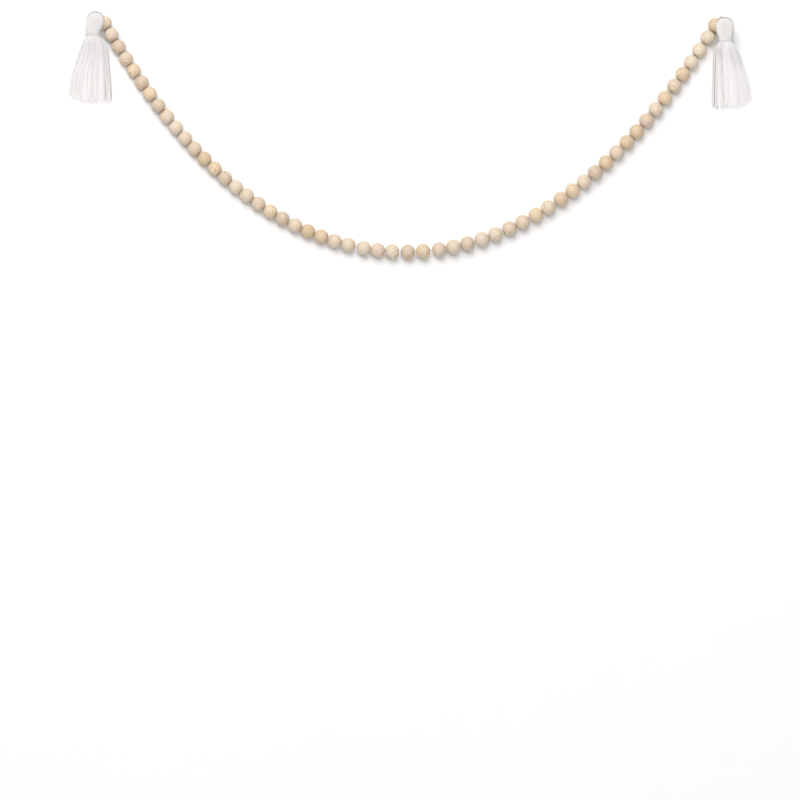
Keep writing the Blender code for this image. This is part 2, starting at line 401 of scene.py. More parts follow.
cottons = {
    "cotton_cord": {
        "light": (0.90, 0.875, 0.835), "dark": (0.74, 0.70, 0.645),
        "plies": 3, "twist": 0.0, "bump": 0.35, "sheen": 0.15,
    },
    "cotton_yarn": {
        "light": (0.948, 0.93, 0.926), "dark": (0.843, 0.818, 0.812),
        "plies": 2, "twist": 3.2 * mm, "bump": 0.45, "sheen": 0.30,
        "paintedNeckShade": (0.85, 0.0, 52 * mm),  # painted shade at the neck: how grey the yarn starts there, and over which length
        "paintedStrandShade": (0.64, -2.2, -0.4),  # how grey the strands in painted shade are, and at which tones
    },
    "head_yarn_painted_shade": {
        # The same cotton as the skirt's, painted darker as the head's shade
        "light": (0.82, 0.80, 0.785), "dark": (0.68, 0.655, 0.64),
        "plies": 2, "twist": 3.2 * mm, "bump": 0.45, "sheen": 0.05,
        "fold": (0.55, 0.035, 0.085),  # painted shade along the fold over the head's top: how grey it is there, and how far it reaches
    },
    "binding_yarn": {
        # The same cotton too, painted a little darker as the shade at the neck
        "light": (0.90, 0.88, 0.868), "dark": (0.78, 0.755, 0.742),
        "plies": 2, "twist": 0.0, "bump": 0.35, "sheen": 0.25,
    },
}

spun = {  # what all of them share
    "roughness": 0.93,
    "specular": 0.25,
    "sheenRoughness": 0.5,
    "fibres": {"across": 3.0, "along": 500.0, "detail": 4.0, "roughness": 0.7},
    "drift": {"scale": 90.0, "detail": 2.0},
    "height": {"ply": 0.7, "fibres": 0.5},
    "bright": {"ply": 0.40, "drift": 0.35, "tone": 0.35, "fibres": 0.25},
    "darkest": 0.25,  # the brightness that gets the dark colour
    "bumpDepth": 0.15 * mm,
}


def newMaterial(name, roughness, specular):
    material = bpy.data.materials.new(name)
    material.use_nodes = True
    shader = material.node_tree.nodes["Principled BSDF"]
    shader.inputs["Roughness"].default_value = roughness
    shader.inputs["Specular IOR Level"].default_value = specular
    return material, material.node_tree, shader


def mixColour(tree, share, a, b):  # of two colours, each a tuple or a socket
    a, b = [(*colour, 1.0) if isinstance(colour, tuple) else colour for colour in (a, b)]
    return addNode(tree, "ShaderNodeMix", {"Factor": share, "A": a, "B": b}, data_type="RGBA")


def addBump(tree, shader, strength, depth, height):
    inputs = {"Strength": strength, "Distance": depth, "Height": height}
    tree.links.new(addNode(tree, "ShaderNodeBump", inputs), shader.inputs["Normal"])


def attribute(tree, name, output):
    return addNode(tree, "ShaderNodeAttribute", output=output, attribute_name=name)


def cottonMaterial(name, look):
    material, tree, shader = newMaterial(name, spun["roughness"], spun["specular"])
    shader.inputs["Sheen Weight"].default_value = look["sheen"]
    shader.inputs["Sheen Roughness"].default_value = spun["sheenRoughness"]
    run = attribute(tree, "yarnRun", "Fac")
    tone = attribute(tree, "yarnTone", "Fac")
    x, y = split(tree, attribute(tree, "yarnRound", "Vector"))[:2]
    angle = calc(tree, "ARCTAN2", y, x)
    if look["twist"]:
        angle = plus(tree, angle, times(tree, run, 2 * math.pi / look["twist"]))
    ply = calc(tree, "ABSOLUTE", calc(tree, "COSINE", times(tree, angle, look["plies"] / 2)))
    fibre = spun["fibres"]
    across = vectorCalc(tree, "SCALE", join(tree, 0.0, x, y), fibre["across"])
    along = join(tree, times(tree, run, fibre["along"]), 0.0, 0.0)
    fibres = vectorCalc(tree, "ADD", across, along)
    fibres = noise(tree, fibres, detail=fibre["detail"], roughness=fibre["roughness"])
    drift = noise(tree, addNode(tree, "ShaderNodeTexCoord", output="Object"), **spun["drift"])

    values = {"ply": ply, "fibres": fibres, "drift": drift, "tone": tone}
    bright = ranged(tree, weighed(tree, values, spun["bright"]), spun["darkest"], 1.0)
    colour = mixColour(tree, bright, look["dark"], look["light"])
    # Painted shade, scaling the colour down: near the skirt's neck, on the strands with the lowest
    # tones, and along the head's fold over its top
    fold = calc(tree, "ABSOLUTE", minus(tree, attribute(tree, "yarnShare", "Fac"), 0.5))
    for key, value in (("paintedNeckShade", run), ("paintedStrandShade", tone), ("fold", fold)):
        if key in look:
            start, near, far = look[key]
            paintedShadeScale = ranged(tree, value, near, far, (start, 1.0), smooth=True)
            colour = vectorCalc(tree, "SCALE", colour, paintedShadeScale)
    tree.links.new(colour, shader.inputs["Base Color"])
    height = weighed(tree, values, spun["height"])
    addBump(tree, shader, look["bump"], spun["bumpDepth"], height)
    return material


cottonLooks = {name: cottonMaterial(name, look) for name, look in cottons.items()}
beadList = readBeads()
cordLine = cordPath(beadList)
spunYarn = yarnTree("spunYarn")

cordPiece = spin("twistedCord", [cordLine], cord["diameter"] / 2, cord, "cotton_cord")
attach(cordPiece, "root")
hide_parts("cord")


# The wooden beads

bead = {
    "radius": 8.0 * mm,  # the bead that the section is drawn for
    "bore": cord["bore"],
    "rim": 0.55 * mm,  # how far the hole's edge is rounded over
    "rimSteps": 3,
    "rows": 28,
    "sides": 44,
    "uneven": 0.16 * mm,
    "lumps": 110.0,  # how many of those uneven places fit in a metre
    "seed": 21,
    "seedStep": 20,  # from one wood to the next
    "rollStep": 9,  # which draw turns a bead on the cord
}


def beadSection(bead):  # from the hole outwards, down the outside and back up the hole
    radius, bore, rim = bead["radius"], bead["bore"], bead["rim"]
    start = math.asin((bore + rim) / radius)
    outside = [start + (math.pi - 2 * start) * i / bead["rows"] for i in range(bead["rows"] + 1)]
    line = [(radius * math.sin(a), radius * math.cos(a)) for a in outside]
    edge = radius * math.cos(start)
    turns = [math.pi / 2 * (i + 1) / bead["rimSteps"] for i in range(bead["rimSteps"])]
    rounded = [(bore + rim * (1 - math.sin(t)), edge - rim * (1 - math.cos(t))) for t in turns]
    line += [(x, -y) for x, y in rounded]
    line += [(bore, 0.0)]
    line += rounded[::-1]
    return [(x - bore, -y, 0.0) for x, y in line]


def beadTree():
    tree, given = newTree(
        "strungBeads",
        {
            "Geometry": ("Geometry", None),
            "Section": ("Object", None),
            "Bore": ("Float", 2 * mm),
            "Drawn Radius": ("Float", 8 * mm),
            "Sides": ("Int", 40),
            "Uneven": ("Float", 0.1 * mm),
            "Seed": ("Int", 1),
            "Wood": ("Material", None),
        },
    )
    section = addNode(
        tree, "GeometryNodeObjectInfo", {"Object": given["Section"]}, output="Geometry"
    )
    ring = ringCurve(tree, given["Sides"], given["Bore"])
    turned = addNode(tree, "GeometryNodeCurveToMesh", {"Curve": ring, "Profile Curve": section})
    place = addNode(tree, "GeometryNodeInputPosition")
    turned = keep(tree, turned, "beadPlace", "FLOAT_VECTOR", place)

    full = 2 * math.pi
    places = given["Geometry"]
    for step, (name, kind, low, high) in enumerate(
        (
            ("grainTurn", "FLOAT_VECTOR", (0.0, 0.0, 0.0), (full, full, full)),
            ("grainShift", "FLOAT_VECTOR", (0.0, 0.0, 0.0), (1.0, 1.0, 1.0)),
            ("beadTone", "FLOAT", 0.0, 1.0),
            ("beadTint", "FLOAT", 0.0, 1.0),
        )
    ):
        drawn = chance(tree, kind, low, high, given["Seed"], step)
        places = keep(tree, places, name, kind, drawn)
    roll = chance(tree, "FLOAT", 0.0, full, given["Seed"], bead["rollStep"])
    roll = addNode(tree, "FunctionNodeEulerToRotation", {"Euler": join(tree, 0.0, 0.0, roll)})
    turn = addNode(
        tree, "FunctionNodeAlignRotationToVector",
        {"Rotation": roll, "Vector": kept(tree, "along", "FLOAT_VECTOR")}, axis="Z",
    )
    size = calc(tree, "DIVIDE", kept(tree, "size", "FLOAT"), given["Drawn Radius"])
    size = join(tree, size, size, size)
    beads = addNode(
        tree, "GeometryNodeInstanceOnPoints",
        {"Points": places, "Instance": turned, "Rotation": turn, "Scale": size},
    )
    beads = addNode(tree, "GeometryNodeRealizeInstances", {"Geometry": beads})

    grain = addNode(
        tree, "ShaderNodeVectorRotate",
        {
            "Vector": kept(tree, "beadPlace", "FLOAT_VECTOR"),
            "Rotation": kept(tree, "grainTurn", "FLOAT_VECTOR"),
        },
        rotation_type="EULER_XYZ",
    )
    grain = vectorCalc(tree, "ADD", grain, kept(tree, "grainShift", "FLOAT_VECTOR"))
    beads = keep(tree, beads, "woodPlace", "FLOAT_VECTOR", grain)
    lumps = noise(tree, kept(tree, "woodPlace", "FLOAT_VECTOR"), bead["lumps"])
    push = times(tree, minus(tree, lumps, 0.5), given["Uneven"])
    offset = vectorCalc(tree, "SCALE", addNode(tree, "GeometryNodeInputNormal"), push)
    beads = addNode(tree, "GeometryNodeSetPosition", {"Geometry": beads, "Offset": offset})
    finishTree(tree, beads, given["Wood"])
    return tree


# Bare sanded wood: soft growth bands, fine fibres and short pores, each bead cut another way

woodLooks = {
    "wood_cream": {
        "name": "creamBeads", "bands": 0.54,
        "light": (0.815, 0.69, 0.54), "dark": (0.56, 0.43, 0.29), "tint": (0.70, 0.59, 0.47),
    },
    "wood_honey": {
        "name": "honeyBeads", "bands": 0.57,
        "light": (0.805, 0.65, 0.465), "dark": (0.535, 0.37, 0.21), "tint": (0.69, 0.54, 0.375),
    },
    "wood_rose": {
        "name": "roseBeads", "bands": 0.54,
        "light": (0.795, 0.655, 0.515), "dark": (0.54, 0.40, 0.275), "tint": (0.665, 0.54, 0.435),
    },
}

sanded = {  # what all of them share
    "specular": 0.45,
    "roughness": 0.58,  # the plain value, where the fibres can't vary it
    "fibreRoughness": (0.44, 0.62),  # and what it is in them, for that range of their noise
    "fibreRange": (0.3, 0.7),
    "rings": {"Scale": 0.17, "Distortion": 3.0, "Detail": 2.5, "Detail Scale": 0.40},
    "ringSpread": (0.62, 1.28),  # how close the rings are, from bead to bead
    "fibres": {"scale": 0.55, "detail": 5.0, "roughness": 0.65},
    "fibreShape": (6.0, 6.0, 0.40),  # thin across the grain and long along it
    "pores": {"scale": 0.8, "detail": 2.0, "roughness": 0.6},
    "poreShape": (4.2, 4.2, 0.8),
    "patches": {"scale": 0.11, "detail": 2.0},
    "edges": {  # between which values of its noise each of them fades in
        "rings": (0.30, 1.0), "fibres": (0.35, 0.68), "patches": (0.35, 0.70),
        "pores": (0.60, 0.72), "hole": (5.8 * mm, 7.9 * mm),
    },
    "fibreShare": 0.52,
    "toneShare": (-0.32, 0.17),  # how much darker a bead is as a whole
    "tintShare": (0.1, 0.9),  # how much of the third colour it has
    "poreShare": 0.30,
    # how much darker the wood gets towards both ends of the bore
    "holeShare": 0.28,
    "poreColour": (0.42, 0.27, 0.15),
    "bump": 0.25,
    "bumpDepth": 0.08 * mm,
    "fibreHeight": 0.6,  # next to that of the pores
}


def woodMaterial(name, look):
    material, tree, shader = newMaterial(name, sanded["roughness"], sanded["specular"])
    tone = attribute(tree, "beadTone", "Fac")
    tint = attribute(tree, "beadTint", "Fac")
    grain = vectorCalc(tree, "SCALE", attribute(tree, "woodPlace", "Vector"), 1 / mm)
    along = addNode(tree, "ShaderNodeMapping", {"Vector": grain, "Scale": sanded["fibreShape"]})
    fibres = noise(tree, along, **sanded["fibres"])
    along = addNode(tree, "ShaderNodeMapping", {"Vector": grain, "Scale": sanded["poreShape"]})
    pores = noise(tree, along, **sanded["pores"])
    patches = noise(tree, grain, **sanded["patches"])
    closer = ranged(tree, tint, 0.0, 1.0, sanded["ringSpread"])
    rings = addNode(
        tree, "ShaderNodeTexWave",
        {"Vector": vectorCalc(tree, "SCALE", grain, closer), **sanded["rings"]},
        output="Fac", bands_direction="X",
    )
    hole = calc(tree, "ABSOLUTE", split(tree, attribute(tree, "beadPlace", "Vector"))[2])

    def faded(value, key, smooth=True):
        return ranged(tree, value, *sanded["edges"][key], smooth=smooth)

    share = times(tree, faded(rings, "rings"), look["bands"])
    fibreShare = times(tree, faded(fibres, "fibres", smooth=False), sanded["fibreShare"])
    share = plus(tree, share, fibreShare)
    share = plus(tree, share, ranged(tree, tone, 0.0, 1.0, sanded["toneShare"]))
    colour = mixColour(tree, share, look["light"], look["dark"])
    tinted = ranged(tree, tint, 0.0, 1.0, sanded["tintShare"])
    tinted = times(tree, faded(patches, "patches"), tinted)
    colour = mixColour(tree, tinted, colour, look["tint"])
    dark = times(tree, faded(pores, "pores"), sanded["poreShare"])
    # darker towards both ends of the bore
    dark = calc(tree, "MAXIMUM", dark, times(tree, faded(hole, "hole"), sanded["holeShare"]))
    colour = mixColour(tree, dark, colour, sanded["poreColour"])
    tree.links.new(colour, shader.inputs["Base Color"])

    height = times(tree, fibres, sanded["fibreHeight"])
    height = minus(tree, height, faded(pores, "pores", smooth=False))
    addBump(tree, shader, sanded["bump"], sanded["bumpDepth"], height)
    roughness = ranged(tree, fibres, *sanded["fibreRange"], sanded["fibreRoughness"])
    tree.links.new(roughness, shader.inputs["Roughness"])
    return material


def makeBeads(wood, look, section, tree, seed):
    name = look["name"]
    mine = [b for b in beadList if b["wood"] == wood]
    mesh = bpy.data.meshes.new(name)
    mesh.from_pydata([b["middle"] for b in mine], [], [])
    mesh.attributes.new("along", "FLOAT_VECTOR", "POINT")
    mesh.attributes.new("size", "FLOAT", "POINT")
    for i, b in enumerate(mine):
        mesh.attributes["along"].data[i].vector = b["along"]
        mesh.attributes["size"].data[i].value = b["radius"]
    piece = growMesh(
        name, newObject(name + "Places", mesh), tree,
        {
            "Section": section, "Bore": bead["bore"], "Drawn Radius": bead["radius"],
            "Sides": bead["sides"], "Uneven": bead["uneven"], "Seed": seed,
            "Wood": woodMaterial(wood, look),
        },
    )
    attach(piece, "root")
    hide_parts(*[b["node"] for b in mine])
    return piece


section = polyCurve("beadSection", [beadSection(bead)], closed=True)
strungBeads = beadTree()
beadPieces = []
for number, (wood, look) in enumerate(woodLooks.items()):
    seed = bead["seed"] + bead["seedStep"] * number
    made = makeBeads(wood, look, section, strungBeads, seed)
    beadPieces.append(made)
    print(f"{made.name}: {len(made.data.polygons)} faces")
bpy.data.objects.remove(section)


# The tassels. A level gives, at one drop below the head's top, the half width, the half depth,
# how far its middle has moved away from the beads and back towards the wall, all in mm, and
# how much of the tassel's own tuck it takes, which pulls the neck away from the beads.

tassel = {
    "front": 12.2 * mm,  # how far the tassels hang in front of the beads
    "head": (
        (0.0, 1.6, 1.1, 0.0, 0.0, 0.0),
        (0.9, 4.8, 3.1, 0.0, 0.0, 0.0),
        (2.8, 7.5, 4.8, 0.0, 0.0, 0.0),
        (5.8, 9.2, 5.9, 0.0, 0.0, 0.0),
        (10.0, 9.8, 6.3, 0.1, 0.0, 0.1),
        (15.0, 9.5, 6.2, 0.15, 0.0, 0.3),
        (19.0, 8.6, 5.7, 0.2, 0.1, 0.65),
        (22.3, 7.3, 5.0, 0.3, 0.2, 0.95),
        (23.4, 6.9, 4.8, 0.3, 0.2, 0.97),
        (26.7, 6.9, 4.8, 0.4, 0.3, 1.0),
        (28.8, 7.3, 5.0, 0.4, 0.4, 0.95),
    ),
    "skirt": (
        (22.0, 6.3, 4.2, 0.3, 0.2, 0.95),
        (26.5, 6.6, 4.5, 0.4, 0.3, 1.0),
        (28.5, 7.6, 5.1, 0.4, 0.4, 0.95),
        (31.0, 9.9, 6.4, 0.5, 0.6, 0.75),
        (34.0, 12.1, 7.8, 0.75, 1.0, 0.4),
        (38.0, 13.8, 8.9, 1.2, 1.4, 0.12),
        (44.0, 15.3, 9.6, 2.0, 1.9, 0.0),
        (54.0, 17.3, 10.4, 3.3, 2.8, 0.0),
        (86.0, 22.2, 12.2, 6.3, 5.5, 0.0),
        (103.0, 21.6, 11.8, 6.0, 6.2, 0.0),
    ),
    "sides": {
        "left": {
            "side": -1, "out": 4.6 * mm, "rise": 1.1 * mm, "tuck": 2.7 * mm, "lean": -0.010,
            "wide": 1.0, "spread": 1.07, "seed": 5,
        },
        "right": {
            "side": 1, "out": 4.5 * mm, "rise": -1.4 * mm, "tuck": 0.0, "lean": 0.020,
            "wide": 1.03, "spread": 1.0, "seed": 8,
        },
    },
}

thread = {
    "count": 520,
    "radius": 0.40 * mm,
    "sides": 4,
    "points": 17,
    "crowding": 1.6,  # above 1, more of those points are near the top, where a thread bends
    "top": 24.8 * mm,
    "bottom": 103.8 * mm,
    "outerTrim": 6.5 * mm,  # how much higher the side away from the beads ends
    "uneven": 5.6 * mm,  # how much sooner a thread may end
    "early": 0.55,  # below 1, more of them end that soon and only a few reach the bottom
    "gather": 1.1 * mm,  # how far neighbours stray together
    "ragged": 5.0 * mm,  # how much sooner a lock of neighbours may end
    "wave": 0.5 * mm,  # how far a thread strays by itself
    "outwards": 0.42,  # the power of a thread's distance from the middle, 0.5 is even
    "astray": 0.08,  # how far the loosest threads stand out, as a share of the half width
    "insideShade": 0.8,  # painted shade: how much greyer the middle's threads are
    "edgeShade": 3.0,  # and painted shade on some strands of the side next to the beads
    "edgeRange": (-0.52, -0.80),  # where that side starts, and from where it is in full
    "strands": (20.0, 4.0),  # how narrow those strands are, and how deep
    "strandRange": (0.49, 0.57),  # from which noise a strand gets that painted shade, and gets it in full
    "fewAstray": 8.0,  # the larger, the fewer threads are the loosest
    "locks": 7.0,  # how narrow the locks of neighbours are
    "lockRange": (0.35, 0.70),  # from which noise a lock ends sooner, and does so in full
    "ownWays": 50.0,  # how differently they stray by themselves
    "gathers": 9.0,  # how often neighbours stray together, in a metre
    "waves": 55.0,  # and a thread by itself
    "strayShape": (1.0, 0.6, 0.0),  # how far sideways, towards the wall and up
    "loose": (27 * mm, 75 * mm),  # where they start to stray, and from where they do in full
    "thickness": (0.82, 1.15),  # of the greyest and of the whitest thread
}

head = {
    "strands": 36,
    "radius": 0.46 * mm,
    "plies": 2,
    "twist": 0.0,
    "groove": 0.0,
    "sides": 6,
    "step": 1.3 * mm,
    "sunk": 0.8,  # how deep a strand lies in the head's surface, as a share of its radius
    "foldDrop": 5.8 * mm,  # above this the strands go straight up and over the top
    "foldWidth": 9.0 * mm,
    "points": 34,
    "wobble": 0.12 * mm,
    "core": {"top": 1.2 * mm, "bottom": 30 * mm, "rings": 14, "sides": 20, "share": 0.90},
}

binding = {
    "turns": 5,
    "from": 22.9 * mm,
    "to": 26.4 * mm,
    "radius": 0.40 * mm,
    "proud": 0.35 * mm,  # from the head's own surface to the middle of the wrapped yarn
    "points": 40,  # in one turn
    "plies": 2,
    "twist": 2.6 * mm,
    "groove": 0.22,
    "sides": 10,
    "step": 0.7 * mm,
    "seedStep": 3,
}


def headLevel(drop, end, grow=0.0):  # half width, half depth, shift and back, in metres
    rows = np.array(tassel["head"])
    wide, depth, shift, back, share = (
        float(np.interp(drop / mm, rows[:, 0], rows[:, k])) for k in range(1, 6)
    )
    away = shift * mm + share * end["tuck"]
    return wide * mm * end["wide"] + grow, depth * mm + grow, away, back * mm


def tasselTop(name, end):
    hang = hangPoint(name + "_hang_point")
    return hang + Vector((end["side"] * end["out"], -tassel["front"], end["rise"]))


def tasselPoint(top, end, level, drop, across, deep):
    wide, depth, shift, back = level
    x = shift + end["lean"] * drop + wide * across
    return top + Vector((end["side"] * x, back + depth * deep, -drop))


def levelCurve(tree, share, column, unit=mm):  # a column of the skirt's levels as a float curve
    node = tree.nodes.new("ShaderNodeFloatCurve")
    curve = node.mapping.curves[0]
    rows = tassel["skirt"]
    last = rows[-1][0]
    largest = max(row[column] for row in rows)
    for number, row in enumerate(rows):
        at = (row[0] / last, row[column] / largest)
        if number < 2:
            curve.points[number].location = at
        else:
            curve.points.new(*at)
    node.mapping.use_clip = False
    node.mapping.update()
    tree.links.new(share, node.inputs["Value"])
    return times(tree, node.outputs[0], largest * unit)


def skirtTree():
    tree, given = newTree(
        "hangingThreads",
        {
            "Geometry": ("Geometry", None),
            "Threads": ("Int", 300),
            "Radius": ("Float", 0.5 * mm),
            "Sides": ("Int", 4),
            "Points": ("Int", 16),
            "Crowding": ("Float", 1.0),
            "Top": ("Float", 22 * mm),
            "Bottom": ("Float", 103 * mm),
            "Outer Trim": ("Float", 6 * mm),
            "Uneven": ("Float", 3 * mm),
            "Early": ("Float", 1.0),
            "Gather": ("Float", 2 * mm),
            "Ragged": ("Float", 4 * mm),
            "Wave": ("Float", 0.5 * mm),
            "Outwards": ("Float", 0.5),
            "Astray": ("Float", 0.1),
            "Inside Shade": ("Float", 0.5),
            "Edge Shade": ("Float", 0.5),
            "Side": ("Float", 1.0),
            "Tuck": ("Float", 0.0),
            "Lean": ("Float", 0.02),
            "Spread": ("Float", 1.0),
            "Place": ("Vector", (0, 0, 0)),
            "Seed": ("Int", 1),
            "Yarn": ("Material", None),
        },
    )
    seed = given["Seed"]
    number = addNode(tree, "GeometryNodeInputIndex")
    share = calc(tree, "DIVIDE", plus(tree, number, 0.5), given["Threads"])
    spread = calc(tree, "POWER", share, given["Outwards"])
    angle = times(tree, number, math.pi * (3 - math.sqrt(5)))
    far = calc(tree, "POWER", chance(tree, "FLOAT", 0.0, 1.0, seed, 3), thread["fewAstray"])
    reach = times(tree, spread, plus(tree, times(tree, far, given["Astray"]), 1.0))
    across = times(tree, reach, calc(tree, "COSINE", angle))
    deep = times(tree, reach, calc(tree, "SINE", angle))

    outer = calc(tree, "MAXIMUM", across, 0.0)
    trim = times(tree, given["Outer Trim"], times(tree, outer, outer))
    early = calc(tree, "POWER", chance(tree, "FLOAT", 0.0, 1.0, seed), given["Early"])
    early = times(tree, given["Uneven"], early)
    lockX, lockY = [times(tree, value, thread["locks"]) for value in (across, deep)]
    lock = ranged(tree, noise(tree, join(tree, lockX, lockY, seed)), *thread["lockRange"])
    lock = times(tree, lock, given["Ragged"])
    bottom = given["Bottom"]
    for shorter in (trim, early, lock):
        bottom = minus(tree, bottom, shorter)

    # Each thread's tone: random, then lowered as painted shade in the middle and on some strands of
    # the side next to the beads
    tone = chance(tree, "FLOAT", 0.0, 1.0, seed, 1)
    tone = minus(tree, tone, times(tree, given["Inside Shade"], minus(tree, 1.0, spread)))
    narrow, shallow = thread["strands"]
    shadedStrandMask = join(tree, times(tree, across, narrow), times(tree, deep, shallow), seed)
    shadedStrandMask = ranged(tree, noise(tree, shadedStrandMask), *thread["strandRange"], smooth=True)
    edge = times(tree, ranged(tree, across, *thread["edgeRange"], smooth=True), shadedStrandMask)
    tone = minus(tree, tone, times(tree, given["Edge Shade"], edge))
    ownWay = chance(tree, "FLOAT", 0.0, thread["ownWays"], seed, 2)
    roots = addNode(tree, "GeometryNodePoints", {"Count": given["Threads"]})
    roots = keep(tree, roots, "root", "FLOAT_VECTOR", join(tree, across, deep, bottom))
    roots = keep(tree, roots, "yarnTone", "FLOAT", tone)
    roots = keep(tree, roots, "ownWay", "FLOAT", ownWay)
    line = addNode(tree, "GeometryNodeCurvePrimitiveLine", {"Start": (0, 0, 0), "End": (0, 0, 1)})
    line = addNode(tree, "GeometryNodeResampleCurve", {"Curve": line, "Count": given["Points"]})
    threads = addNode(tree, "GeometryNodeInstanceOnPoints", {"Points": roots, "Instance": line})
    threads = addNode(tree, "GeometryNodeRealizeInstances", {"Geometry": threads})

    share = split(tree, addNode(tree, "GeometryNodeInputPosition"))[2]
    across, deep, bottom = split(tree, kept(tree, "root", "FLOAT_VECTOR"))
    down = calc(tree, "POWER", share, given["Crowding"])
    drop = plus(tree, given["Top"], times(tree, down, minus(tree, bottom, given["Top"])))
    downShare = calc(tree, "DIVIDE", drop, tassel["skirt"][-1][0] * mm)
    wide = times(tree, levelCurve(tree, downShare, 1), given["Spread"])
    depth = levelCurve(tree, downShare, 2)
    shift = levelCurve(tree, downShare, 3)
    tucked = times(tree, levelCurve(tree, downShare, 5, 1.0), given["Tuck"])
    shift = plus(tree, shift, tucked)
    back = levelCurve(tree, downShare, 4)
    loose = ranged(tree, drop, *thread["loose"], smooth=True)

    def strayBy(place, detail, amount):  # up to that amount to either side
        stray = noise(tree, place, detail=detail, output="Color")
        stray = vectorCalc(tree, "SUBTRACT", stray, (0.5, 0.5, 0.5))
        return vectorCalc(tree, "SCALE", stray, times(tree, times(tree, amount, 2.0), loose))

    lockX, lockY = [times(tree, value, thread["locks"]) for value in (across, deep)]
    lockZ = plus(tree, times(tree, drop, thread["gathers"]), seed)
    gather = strayBy(join(tree, lockX, lockY, lockZ), 1.0, given["Gather"])
    alone = join(tree, kept(tree, "ownWay", "FLOAT"), times(tree, drop, thread["waves"]), 0.0)
    wave = strayBy(alone, 2.0, given["Wave"])
    stray = vectorCalc(tree, "ADD", gather, wave)
    stray = vectorCalc(tree, "MULTIPLY", stray, thread["strayShape"])

    x = plus(tree, shift, times(tree, drop, given["Lean"]))
    x = times(tree, given["Side"], plus(tree, x, times(tree, wide, across)))
    y = plus(tree, back, times(tree, depth, deep))
    at = vectorCalc(tree, "ADD", join(tree, x, y, times(tree, drop, -1.0)), given["Place"])
    threads = addNode(
        tree, "GeometryNodeSetPosition", {"Geometry": threads, "Position": at, "Offset": stray}
    )
    run = addNode(tree, "GeometryNodeSplineParameter", output="Length")
    threads = keep(tree, threads, "yarnRun", "FLOAT", run)

    ring = ringCurve(tree, given["Sides"], 1.0)
    place = addNode(tree, "GeometryNodeInputPosition")
    ring = keep(tree, ring, "yarnRound", "FLOAT_VECTOR", place)
    thick = ranged(tree, kept(tree, "yarnTone", "FLOAT"), 0.0, 1.0, thread["thickness"])
    size = times(tree, given["Radius"], thick)
    finishYarn(tree, threads, ring, size, given["Yarn"])
    return tree


def makeSkirt(name, end, tree):
    empty = newObject(name + "Start", bpy.data.meshes.new(name + "Start"))
    return growMesh(
        name + "Skirt", empty, tree,
        {
            "Threads": thread["count"], "Radius": thread["radius"], "Sides": thread["sides"],
            "Points": thread["points"], "Crowding": thread["crowding"],
            "Top": thread["top"], "Bottom": thread["bottom"],
            "Outer Trim": thread["outerTrim"], "Uneven": thread["uneven"], "Early": thread["early"],
            "Gather": thread["gather"], "Ragged": thread["ragged"], "Wave": thread["wave"],
            "Outwards": thread["outwards"], "Astray": thread["astray"],
            "Inside Shade": thread["insideShade"], "Edge Shade": thread["edgeShade"],
            "Side": float(end["side"]), "Tuck": end["tuck"],
            "Lean": end["lean"], "Spread": end["spread"], "Place": tasselTop(name, end),
            "Seed": end["seed"],
            "Yarn": cottonLooks["cotton_yarn"],
        },
    )


def strandLine(top, end, across, own):  # over the top, from the front of the neck to the back
    neck = tassel["skirt"][1][0] * mm
    fold = head["foldDrop"]
    crossing = fold * (1 - math.sqrt(1 - across**2))
    line = []
    for i in range(head["points"] + 1):
        turn = math.pi * (i / head["points"] - 0.5)
        drop = crossing + (neck - crossing) * (1 - math.cos(turn))
        level = headLevel(drop, end, -head["radius"] * head["sunk"])
        x = across
        if drop < fold:
            straight = across * (head["foldWidth"] - head["radius"]) / level[0]
            x = min(1.0, max(-1.0, straight))
        y = math.copysign(math.sqrt(1 - x * x), turn)
        stray = Vector((own.uniform(-1, 1), own.uniform(-1, 1), 0)) * head["wobble"]
        line.append(tasselPoint(top, end, level, drop, x, y) + stray)
    return line


def coreMesh(top, end, core):  # fills the head under its strands
    bm = bmesh.new()
    rings = []
    for drop in np.linspace(core["top"], core["bottom"], core["rings"]):
        level = headLevel(drop, end)
        ring = []
        for i in range(core["sides"]):
            angle = 2 * math.pi * i / core["sides"]
            across, deep = core["share"] * math.cos(angle), core["share"] * math.sin(angle)
            ring.append(bm.verts.new(tasselPoint(top, end, level, drop, across, deep)))
        rings.append(ring)
    for a, b in zip(rings, rings[1:]):
        for i in range(core["sides"]):
            j = (i + 1) % core["sides"]
            bm.faces.new((a[i], a[j], b[j], b[i]))
    bm.faces.new(rings[0])
    bm.faces.new(rings[-1])
    bmesh.ops.recalc_face_normals(bm, faces=bm.faces)
    mesh = bpy.data.meshes.new("core")
    bm.to_mesh(mesh)
    bm.free()
    mesh.shade_smooth()
    mesh.materials.append(cottonLooks["head_yarn_painted_shade"])
    return mesh


def makeHead(name, end):
    top = tasselTop(name, end)
    own = random.Random(end["seed"])
    angles = [math.pi * (i + 0.5) / head["strands"] for i in range(head["strands"])]
    lines = [strandLine(top, end, math.cos(a), own) for a in angles]
    strands = spin(name + "Head", lines, head["radius"], head, "head_yarn_painted_shade", end["seed"])
    core = coreMesh(top, end, head["core"])
    whole = bmesh.new()
    whole.from_mesh(strands.data)
    whole.from_mesh(core)
    whole.to_mesh(strands.data)
    whole.free()
    bpy.data.meshes.remove(core)
    return strands


def makeBinding(name, end):
    top = tasselTop(name, end)
    count = binding["turns"] * binding["points"]
    line = []
    for i in range(count + 1):
        angle = 2 * math.pi * i / binding["points"]
        drop = binding["from"] + (binding["to"] - binding["from"]) * i / count
        level = headLevel(drop, end, binding["proud"])
        line.append(tasselPoint(top, end, level, drop, math.sin(angle), math.cos(angle)))
    seed = end["seed"] + binding["seedStep"]
    return spin(name + "Binding", [line], binding["radius"], binding, "binding_yarn", seed)


